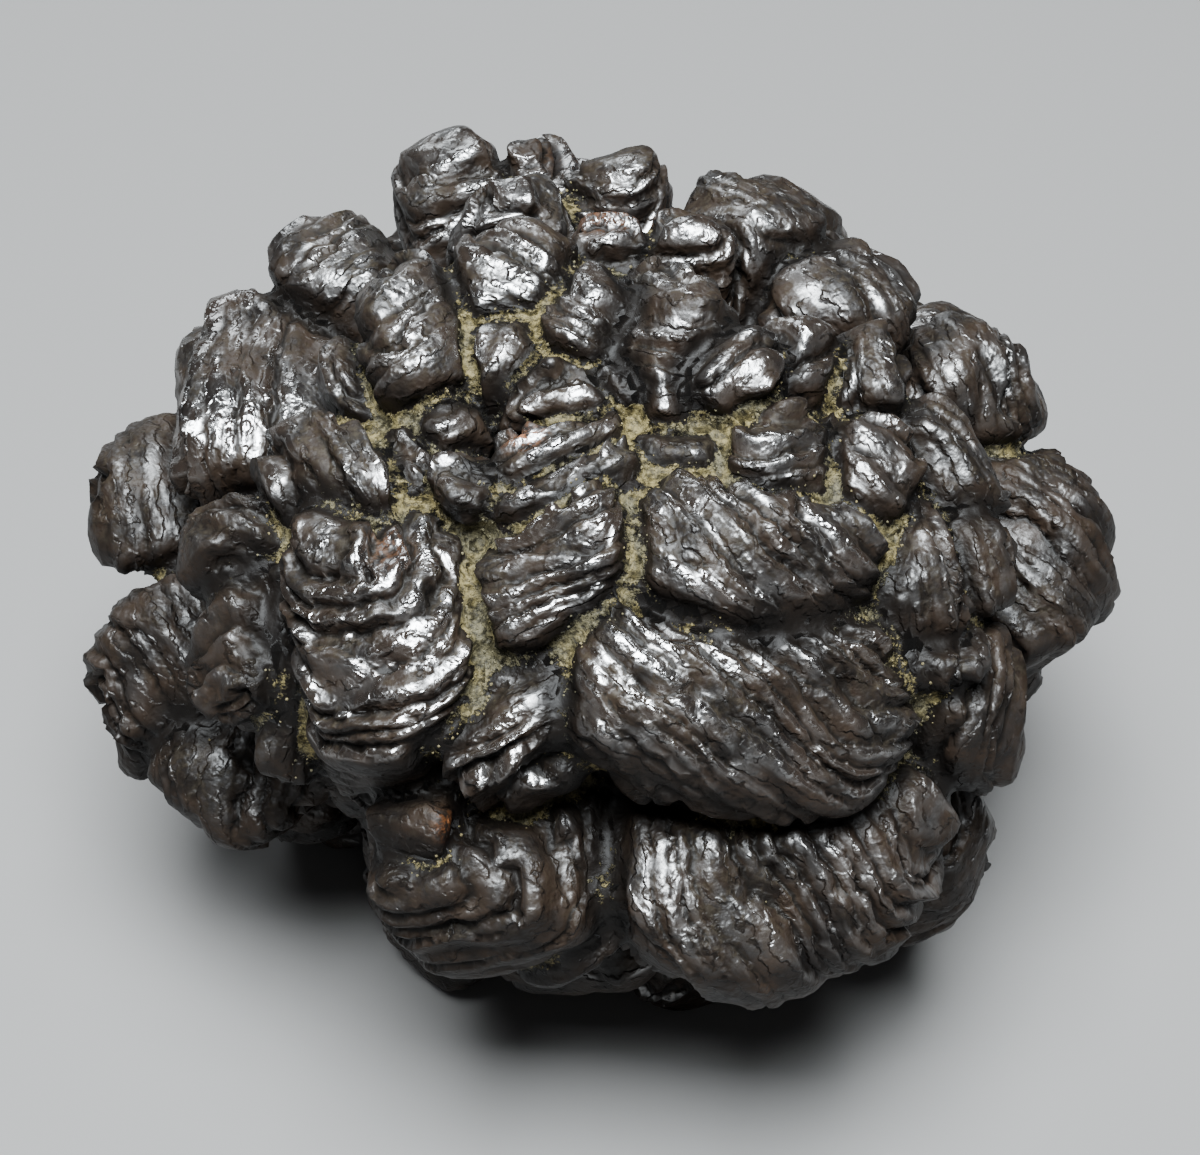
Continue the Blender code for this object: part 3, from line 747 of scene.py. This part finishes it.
def grownMesh():
    voxel = stone["voxel"] * 1.0
    mesh = withModifier(rawMesh(), "REMESH", mode="VOXEL", voxel_size=voxel)
    keepSkin(mesh)
    mesh = withModifier(mesh, "SMOOTH", factor=0.5, iterations=5)
    print("skin of the crystals:", len(mesh.polygons), "faces")
    points = pointsOf(mesh)
    relief, marks = layerRelief(points, normalsOf(mesh))
    scattered = layers["dust"] * smoothStep(0.0, 0.3, waves(points + 500.0, layers["dustSize"]))
    marks["dust"] = np.maximum(spotsOn(points, dustPatches), scattered)
    marks["rust"] = spotsOn(points, [(pixel, reach, 1.0) for pixel, reach in rustSpots])
    bends = [waves(points + field, stone["bendSize"]) for field in stone["bendFields"]]
    points += normalsOf(mesh) * relief[:, None]
    points += stone["bend"] * np.stack(bends, axis=1)
    mesh.vertices.foreach_set("co", points.ravel())
    mesh.update()
    mesh = withModifier(mesh, "SMOOTH", factor=0.25, iterations=1)
    print("growth layers done")
    for name, values in marks.items():
        setAttribute(mesh, name, values)
    setAttribute(mesh, "hollow", hollowsOf(mesh, 4))
    setAttribute(mesh, "valley", hollowsOf(mesh, 60))
    share = stone["triangles"] / (2 * len(mesh.polygons))
    mesh = withModifier(mesh, "DECIMATE", decimate_type="COLLAPSE", ratio=share)
    stand(mesh)
    mesh.validate()
    print("fine skin:", len(mesh.polygons), "triangles")
    mesh.transform(Matrix.Scale(metresPerMm, 4))
    mesh.shade_smooth()
    return mesh


def newNode(tree, kind, label="", **settings):
    node = tree.nodes.new(kind)
    node.label = label
    for name, value in settings.items():
        setattr(node, name, value)
    return node


# Sets a socket to a value, or links it from another socket
def feed(tree, socket, source):
    if isinstance(source, bpy.types.NodeSocket):
        tree.links.new(source, socket)
    else:
        socket.default_value = source


def maths(tree, operation, first, second=0.0, clamp=False):
    node = newNode(tree, "ShaderNodeMath", operation=operation, use_clamp=clamp)
    feed(tree, node.inputs[0], first)
    feed(tree, node.inputs[1], second)
    return node.outputs[0]


def rangeOf(tree, value, low, high, outLow=0.0, outHigh=1.0):
    node = newNode(tree, "ShaderNodeMapRange", interpolation_type="SMOOTHSTEP")
    feed(tree, node.inputs["Value"], value)
    feed(tree, node.inputs["From Min"], low)
    feed(tree, node.inputs["From Max"], high)
    feed(tree, node.inputs["To Min"], outLow)
    feed(tree, node.inputs["To Max"], outHigh)
    return node.outputs["Result"]


def mixed(tree, share, first, second, blend="MIX"):
    node = newNode(tree, "ShaderNodeMix", data_type="RGBA", blend_type=blend)
    feed(tree, node.inputs[0], share)
    feed(tree, node.inputs[6], first)
    feed(tree, node.inputs[7], second)
    return node.outputs[2]


def noiseOf(tree, vector, scale, detail=3.0, rough=0.55):
    node = newNode(tree, "ShaderNodeTexNoise")
    feed(tree, node.inputs["Vector"], vector)
    node.inputs["Scale"].default_value = scale
    node.inputs["Detail"].default_value = detail
    node.inputs["Roughness"].default_value = rough
    return node.outputs["Fac"]


def inMillimetres(tree):
    place = newNode(tree, "ShaderNodeTexCoord")
    size = newNode(tree, "ShaderNodeMapping")
    size.inputs["Scale"].default_value = (1000.0, 1000.0, 1000.0)
    tree.links.new(place.outputs["Object"], size.inputs["Vector"])
    return size.outputs["Vector"]


def attributeOf(tree, name, output="Fac"):
    node = newNode(tree, "ShaderNodeAttribute", attribute_name=name)
    return node.outputs[output]


def addSockets(tree, ways):
    for name, way, kind, value in ways:
        socket = tree.interface.new_socket(name=name, in_out=way, socket_type=kind)
        if value is not None:
            socket.default_value = value


# Pale earth: a colour that varies from ochre to green-grey, and grains for the bump
def earthGroup():
    tree = bpy.data.node_groups.new("earthDust", "ShaderNodeTree")
    addSockets(
        tree,
        [
            ("Place", "INPUT", "NodeSocketVector", None),
            ("Ochre", "INPUT", "NodeSocketColor", (0.105, 0.085, 0.036, 1.0)),
            ("Grey", "INPUT", "NodeSocketColor", (0.060, 0.053, 0.030, 1.0)),
            ("Colour", "OUTPUT", "NodeSocketColor", None),
            ("Grains", "OUTPUT", "NodeSocketFloat", None),
        ],
    )
    given = newNode(tree, "NodeGroupInput")
    result = newNode(tree, "NodeGroupOutput")
    broad = noiseOf(tree, given.outputs["Place"], 0.45, 2.0)
    fine = noiseOf(tree, given.outputs["Place"], 2.6, 3.0, 0.75)
    hue = mixed(tree, rangeOf(tree, broad, 0.38, 0.62), given.outputs["Ochre"], given.outputs["Grey"])
    shade = rangeOf(tree, fine, 0.36, 0.64, 0.3, 1.6)
    feed(tree, result.inputs["Colour"], mixed(tree, 1.0, hue, shade, "MULTIPLY"))
    feed(tree, result.inputs["Grains"], fine)
    return tree


# Steps finer than the mesh: their height, and the dark line where each one ends
def layerGroup():
    tree = bpy.data.node_groups.new("layerSteps", "ShaderNodeTree")
    addSockets(
        tree,
        [
            ("Place", "INPUT", "NodeSocketVector", None),
            ("Grain", "INPUT", "NodeSocketVector", None),
            ("Pitch", "INPUT", "NodeSocketFloat", 1.05),
            ("Wander", "INPUT", "NodeSocketFloat", 2.2),
            ("Crumple", "INPUT", "NodeSocketFloat", 0.75),
            ("Riser", "INPUT", "NodeSocketFloat", 0.18),
            ("Height", "OUTPUT", "NodeSocketFloat", None),
            ("Line", "OUTPUT", "NodeSocketFloat", None),
        ],
    )
    given = newNode(tree, "NodeGroupInput")
    result = newNode(tree, "NodeGroupOutput")
    split = newNode(tree, "ShaderNodeSeparateXYZ")
    tree.links.new(given.outputs["Grain"], split.inputs[0])
    broad = maths(tree, "SUBTRACT", noiseOf(tree, given.outputs["Place"], 0.5, 2.0), 0.5)
    small = maths(tree, "SUBTRACT", noiseOf(tree, given.outputs["Place"], 1.7, 2.0), 0.5)
    height = maths(tree, "DIVIDE", split.outputs["Z"], given.outputs["Pitch"])
    height = maths(tree, "ADD", height, maths(tree, "MULTIPLY", broad, given.outputs["Wander"]))
    height = maths(tree, "ADD", height, maths(tree, "MULTIPLY", small, given.outputs["Crumple"]))
    rest = maths(tree, "FRACT", height)
    left = maths(tree, "SUBTRACT", 1.0, rest)
    up = maths(tree, "DIVIDE", rest, given.outputs["Riser"])
    down = maths(tree, "DIVIDE", left, maths(tree, "SUBTRACT", 1.0, given.outputs["Riser"]))
    feed(tree, result.inputs["Height"], maths(tree, "MINIMUM", up, down))
    feed(tree, result.inputs["Line"], rangeOf(tree, maths(tree, "MINIMUM", rest, left), 0.0, 0.1, 1.0, 0.0))
    return tree


def placeGroup(tree, group, place):
    node = newNode(tree, "ShaderNodeGroup", node_tree=group)
    feed(tree, node.inputs["Place"], place)
    return node


# The stone's finish. Lengths are in millimetres.
finish = {
    "dark": (0.0052, 0.0036, 0.0028, 1.0),
    "brown": (0.0175, 0.0108, 0.0068, 1.0),
    # the dark colour of the lines between layers, also used as painted shade in the hollows and at the crease edges
    "groove": (0.0022, 0.0016, 0.0013, 1.0),
    "film": (0.038, 0.031, 0.021, 1.0),  # the thin dust on the worn faces
    "filmAmount": 0.4,
    "patchFilm": 0.6,  # and more of it in the dusty patches
    "rust": (0.26, 0.085, 0.022, 1.0),
    "gloss": 0.18,
    "dull": 0.52,
    "ior": 2.3,
    "dullSpecular": 0.045,
    "glossSpecular": 1.0,
    "bump": 0.00010,
}


def stoneMaterial(earth, steps):
    material = bpy.data.materials.new("limonite")
    material.use_nodes = True
    tree = material.node_tree
    surface = tree.nodes["Principled BSDF"]
    place = inMillimetres(tree)
    grain = attributeOf(tree, "grain", "Vector")
    crease = attributeOf(tree, "crease")
    hollow = attributeOf(tree, "hollow")
    valley = attributeOf(tree, "valley")
    patch = attributeOf(tree, "dust")
    rust = attributeOf(tree, "rust")

    patchy = noiseOf(tree, place, 0.32, 3.0)
    fine = noiseOf(tree, place, 2.2, 4.0, 0.6)
    specks = noiseOf(tree, place, 6.5, 2.0, 0.6)

    # how much earth lies here: in the creases and grooves, most in the dusty patches
    low = rangeOf(tree, hollow, 0.0, 0.16)
    deep = rangeOf(tree, valley, 0.15, 1.1)
    near = rangeOf(tree, crease, 0.01, 0.16, 1.0, 0.0)
    where = maths(tree, "MULTIPLY", patch, maths(tree, "ADD", maths(tree, "MULTIPLY", near, 0.8), deep))
    where = maths(tree, "ADD", where, maths(tree, "MULTIPLY", maths(tree, "MULTIPLY", near, low), 0.35))
    where = maths(tree, "ADD", where, maths(tree, "MULTIPLY", maths(tree, "SUBTRACT", fine, 0.55), 1.7))
    where = maths(tree, "ADD", where, maths(tree, "MULTIPLY", maths(tree, "SUBTRACT", specks, 0.5), 0.9))
    dusty = rangeOf(tree, where, 0.62, 0.86)

    fineSteps = placeGroup(tree, steps, place)
    tree.links.new(grain, fineSteps.inputs["Grain"])
    clear = rangeOf(tree, crease, 0.01, 0.05)
    broken = rangeOf(tree, noiseOf(tree, place, 0.75, 2.0), 0.4, 0.55)
    clear = maths(tree, "MULTIPLY", clear, broken)
    line = maths(tree, "MULTIPLY", fineSteps.outputs["Line"], clear)

    # some layers are polished, and others dull with a film of dust
    bands = newNode(tree, "ShaderNodeMapping")
    bands.inputs["Scale"].default_value = (0.22, 0.22, 0.8)
    tree.links.new(grain, bands.inputs["Vector"])
    polish = rangeOf(tree, noiseOf(tree, bands.outputs["Vector"], 1.0, 3.0), 0.38, 0.54)
    body = mixed(tree, rangeOf(tree, patchy, 0.35, 0.68), finish["dark"], finish["brown"])
    facing = newNode(tree, "ShaderNodeSeparateXYZ")
    tree.links.new(newNode(tree, "ShaderNodeNewGeometry").outputs["Normal"], facing.inputs[0])
    level = rangeOf(tree, facing.outputs["Z"], 0.1, 0.95)
    film = maths(tree, "MULTIPLY", level, rangeOf(tree, maths(tree, "ADD", fine, maths(tree, "MULTIPLY", low, 0.25)), 0.4, 0.75))
    amount = maths(tree, "ADD", maths(tree, "MULTIPLY", patch, finish["patchFilm"]), finish["filmAmount"])
    film = maths(tree, "MULTIPLY", film, maths(tree, "SUBTRACT", amount, maths(tree, "MULTIPLY", polish, 0.3), True))
    body = mixed(tree, film, body, finish["film"])
    rusty = maths(tree, "MULTIPLY", rust, rangeOf(tree, fine, 0.4, 0.6))
    body = mixed(tree, rusty, body, finish["rust"])
    # painted shade: the colour darkens towards the groove colour in the hollows and along the edges of the creases; the
    # thin dark line between layers is the stone's own
    edge = rangeOf(tree, crease, 0.03, 0.22, 0.9, 0.0)
    shade = maths(tree, "MAXIMUM", rangeOf(tree, hollow, 0.01, 0.14, 0.0, 0.85), maths(tree, "MULTIPLY", line, 0.7))
    shade = maths(tree, "MAXIMUM", shade, edge)
    body = mixed(tree, shade, body, finish["groove"])
    dust = placeGroup(tree, earth, place)
    feed(tree, surface.inputs["Base Color"], mixed(tree, dusty, body, dust.outputs["Colour"]))

    raised = rangeOf(tree, hollow, -0.06, 0.1, 1.0, 0.15)
    raised = maths(tree, "MULTIPLY", raised, attributeOf(tree, "polish"))
    polished = maths(tree, "MULTIPLY", rangeOf(tree, polish, 0.0, 1.0, 0.2, 1.0), raised)
    polished = maths(tree, "MULTIPLY", polished, rangeOf(tree, facing.outputs["Z"], 0.0, 0.8, 0.05, 1.0))
    polished = maths(tree, "SUBTRACT", polished, maths(tree, "MULTIPLY", line, 0.5), True)
    polished = maths(tree, "SUBTRACT", polished, edge, True)
    polished = maths(tree, "SUBTRACT", polished, maths(tree, "ADD", dusty, maths(tree, "MULTIPLY", film, 0.8)), True)
    feed(tree, surface.inputs["Roughness"], rangeOf(tree, polished, 0.0, 1.0, finish["dull"], finish["gloss"]))
    specular = rangeOf(tree, polished, 0.0, 1.0, finish["dullSpecular"], finish["glossSpecular"])
    feed(tree, surface.inputs["Specular IOR Level"], specular)
    surface.inputs["IOR"].default_value = finish["ior"]

    # the finest steps, and lumps too small for the mesh
    height = maths(tree, "MULTIPLY", fineSteps.outputs["Height"], clear)
    height = maths(tree, "ADD", height, maths(tree, "MULTIPLY", noiseOf(tree, place, 1.2, 2.0), 0.7))
    height = maths(tree, "ADD", height, maths(tree, "MULTIPLY", fine, 0.25))
    height = maths(tree, "ADD", height, maths(tree, "MULTIPLY", specks, 0.08))
    grains = maths(tree, "MULTIPLY", maths(tree, "MULTIPLY", dust.outputs["Grains"], dusty), 1.6)
    bump = newNode(tree, "ShaderNodeBump")
    bump.inputs["Distance"].default_value = finish["bump"]
    feed(tree, bump.inputs["Height"], maths(tree, "ADD", height, grains))
    tree.links.new(bump.outputs["Normal"], surface.inputs["Normal"])
    return material


# Loose grains of earth in the creases
grains = {
    "radius": 0.00009,
    "perSquareMm": 9.0,
    "smallest": 0.5,
    "largest": 1.5,
    "seed": 5,
}


def grainMaterial(earth):
    material = bpy.data.materials.new("earthGrains")
    material.use_nodes = True
    tree = material.node_tree
    surface = tree.nodes["Principled BSDF"]
    dust = placeGroup(tree, earth, inMillimetres(tree))
    dust.inputs["Ochre"].default_value = (0.125, 0.100, 0.043, 1.0)
    dust.inputs["Grey"].default_value = (0.075, 0.066, 0.036, 1.0)
    tree.links.new(dust.outputs["Colour"], surface.inputs["Base Color"])
    surface.inputs["Roughness"].default_value = 0.9
    return material


# A tree that scatters grains over the mesh where its earth attribute is high
def scatterTree(material):
    tree = bpy.data.node_groups.new("earthScatter", "GeometryNodeTree")
    addSockets(
        tree,
        [
            ("Geometry", "INPUT", "NodeSocketGeometry", None),
            ("Density", "INPUT", "NodeSocketFloat", 1.0),
            ("Radius", "INPUT", "NodeSocketFloat", 0.0001),
            ("Smallest", "INPUT", "NodeSocketFloat", 0.5),
            ("Largest", "INPUT", "NodeSocketFloat", 1.5),
            ("Seed", "INPUT", "NodeSocketInt", 0),
            ("Geometry", "OUTPUT", "NodeSocketGeometry", None),
        ],
    )
    given = newNode(tree, "NodeGroupInput")
    result = newNode(tree, "NodeGroupOutput")
    amount = newNode(tree, "GeometryNodeInputNamedAttribute", data_type="FLOAT")
    amount.inputs["Name"].default_value = "earth"
    spread = newNode(tree, "GeometryNodeDistributePointsOnFaces", distribute_method="RANDOM")
    ball = newNode(tree, "GeometryNodeMeshIcoSphere")
    ball.inputs["Subdivisions"].default_value = 1
    place = newNode(tree, "GeometryNodeInstanceOnPoints")
    turn = newNode(tree, "FunctionNodeRandomValue", data_type="FLOAT_VECTOR")
    turn.inputs[1].default_value = (6.28, 6.28, 6.28)
    stretch = newNode(tree, "FunctionNodeRandomValue", data_type="FLOAT_VECTOR")
    size = newNode(tree, "FunctionNodeRandomValue", data_type="FLOAT")
    scale = newNode(tree, "ShaderNodeVectorMath", operation="SCALE")
    stretch.inputs[0].default_value = (0.7, 0.7, 0.6)
    stretch.inputs[1].default_value = (1.2, 1.2, 1.0)
    tree.links.new(given.outputs["Geometry"], spread.inputs["Mesh"])
    feed(tree, spread.inputs["Density"], maths(tree, "MULTIPLY", amount.outputs["Attribute"], given.outputs["Density"]))
    tree.links.new(given.outputs["Seed"], spread.inputs["Seed"])
    tree.links.new(given.outputs["Radius"], ball.inputs["Radius"])
    tree.links.new(given.outputs["Smallest"], size.inputs[2])
    tree.links.new(given.outputs["Largest"], size.inputs[3])
    tree.links.new(stretch.outputs[0], scale.inputs[0])
    tree.links.new(size.outputs[1], scale.inputs["Scale"])
    tree.links.new(spread.outputs["Points"], place.inputs["Points"])
    tree.links.new(ball.outputs["Mesh"], place.inputs["Instance"])
    tree.links.new(turn.outputs[0], place.inputs["Rotation"])
    tree.links.new(scale.outputs[0], place.inputs["Scale"])
    whole = newNode(tree, "GeometryNodeRealizeInstances")
    tree.links.new(place.outputs["Instances"], whole.inputs["Geometry"])
    painted = newNode(tree, "GeometryNodeSetMaterial")
    painted.inputs["Material"].default_value = material
    tree.links.new(whole.outputs["Geometry"], painted.inputs["Geometry"])
    tree.links.new(painted.outputs["Geometry"], result.inputs["Geometry"])
    return tree


def readAttribute(mesh, name):
    values = np.zeros(len(mesh.vertices))
    mesh.attributes[name].data.foreach_get("value", values)
    return values


def makeGrains(mesh, material):
    carrier = mesh.copy()
    points = pointsOf(mesh) / metresPerMm
    near = 1.0 - smoothStep(0.02, 0.22, readAttribute(mesh, "crease"))
    deep = smoothStep(0.2, 1.0, readAttribute(mesh, "valley"))
    low = smoothStep(0.0, 0.12, readAttribute(mesh, "hollow"))
    clumps = smoothStep(-0.05, 0.3, waves(points + 200.0, 0.9))
    earth = readAttribute(mesh, "dust") * (0.6 * near + 0.8 * deep) * (0.3 + 0.7 * low) * clumps
    earth[earth < 0.12] = 0.0
    earth[points[:, 2] < 1.0] = 0.0
    setAttribute(carrier, "earth", earth)
    obj = bpy.data.objects.new("working", carrier)
    scene.collection.objects.link(obj)
    modifier = obj.modifiers.new("scatter", "NODES")
    modifier.node_group = scatterTree(material)
    wanted = {
        "Density": grains["perSquareMm"] / metresPerMm**2,
        "Radius": grains["radius"],
        "Smallest": grains["smallest"],
        "Largest": grains["largest"],
        "Seed": grains["seed"],
    }
    for item in modifier.node_group.interface.items_tree:
        if item.in_out == "INPUT" and item.name in wanted:
            modifier[item.identifier] = wanted[item.name]
    made = evaluatedMesh(obj)
    bpy.data.objects.remove(obj)
    print("grains of earth:", len(made.polygons), "triangles")
    return made


def makePiece(name, mesh, material):
    mesh.name = name
    mesh.materials.clear()
    mesh.materials.append(material)
    mesh.polygons.foreach_set("material_index", np.zeros(len(mesh.polygons), int))
    piece = bpy.data.objects.new(name, mesh)
    scene.collection.objects.link(piece)
    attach(piece, "root")
    return piece


def makeFloor():
    mesh = bpy.data.meshes.new("floor")
    mesh.from_pydata([(-3, -3, 0), (3, -3, 0), (3, 3, 0), (-3, 3, 0)], [], [(0, 1, 2, 3)])
    material = bpy.data.materials.new("paleFloor")
    material.use_nodes = True
    surface = material.node_tree.nodes["Principled BSDF"]
    surface.inputs["Base Color"].default_value = studio["floorColour"]
    surface.inputs["Roughness"].default_value = 0.8
    mesh.materials.append(material)
    floor = bpy.data.objects.new("floor", mesh)
    scene.collection.objects.link(floor)


studio = {
    "floorColour": (0.19, 0.185, 0.18, 1.0),
    "worldColour": (0.80, 0.84, 0.90, 1.0),
    "worldStrength": 0.06,
    # (name, place in metres, size, power in watts, colour)
    "lights": [
        ("overhead", (-0.01, -0.11, 0.50), 0.28, 13.5, (0.90, 0.96, 1.0)),
        ("front", (0.10, -0.60, 0.30), 0.16, 0.15, (1.0, 0.98, 0.95)),
        ("rear", (-0.15, 0.50, 0.28), 0.24, 1.0, (0.90, 0.96, 1.0)),
    ],
}


def makeLights():
    for name, place, size, power, colour in studio["lights"]:
        lamp = bpy.data.lights.new(name, "AREA")
        lamp.size = size
        lamp.energy = power
        lamp.color = colour
        light = bpy.data.objects.new(name, lamp)
        light.location = place
        aim = Vector(place) - stone["middle"] * metresPerMm
        light.rotation_mode = "QUATERNION"
        light.rotation_quaternion = aim.to_track_quat("Z", "Y")
        scene.collection.objects.link(light)
    world = bpy.data.worlds.new("studio")
    world.use_nodes = True
    backdrop = world.node_tree.nodes["Background"]
    backdrop.inputs["Color"].default_value = studio["worldColour"]
    backdrop.inputs["Strength"].default_value = studio["worldStrength"]
    scene.world = world


def makeCamera():
    lens = bpy.data.cameras.new("camera")
    width, height = view["imageSize"]
    lens.sensor_width = 36.0
    lens.lens = lens.sensor_width * view["distance"] * view["pixelsPerMm"] / width
    lens.shift_x = -(view["middlePixel"][0] - width / 2) / width
    lens.shift_y = (view["middlePixel"][1] - height / 2) / width
    lens.clip_start = 0.01
    camera = bpy.data.objects.new("camera", lens)
    camera.location = (stone["middle"] + toEye * view["distance"]) * metresPerMm
    camera.rotation_mode = "QUATERNION"
    camera.rotation_quaternion = toEye.to_track_quat("Z", "Y")
    scene.collection.objects.link(camera)
    scene.camera = camera


makeCamera()
makeLights()
makeFloor()
earth = earthGroup()
skin = grownMesh()
looseEarth = grainMaterial(earth)
grainMesh = makeGrains(skin, looseEarth)
concretion = makePiece("limoniteSkin", skin, stoneMaterial(earth, layerGroup()))
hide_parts("concretion")
makePiece("earthGrains", grainMesh, looseEarth)
print("pieces done")
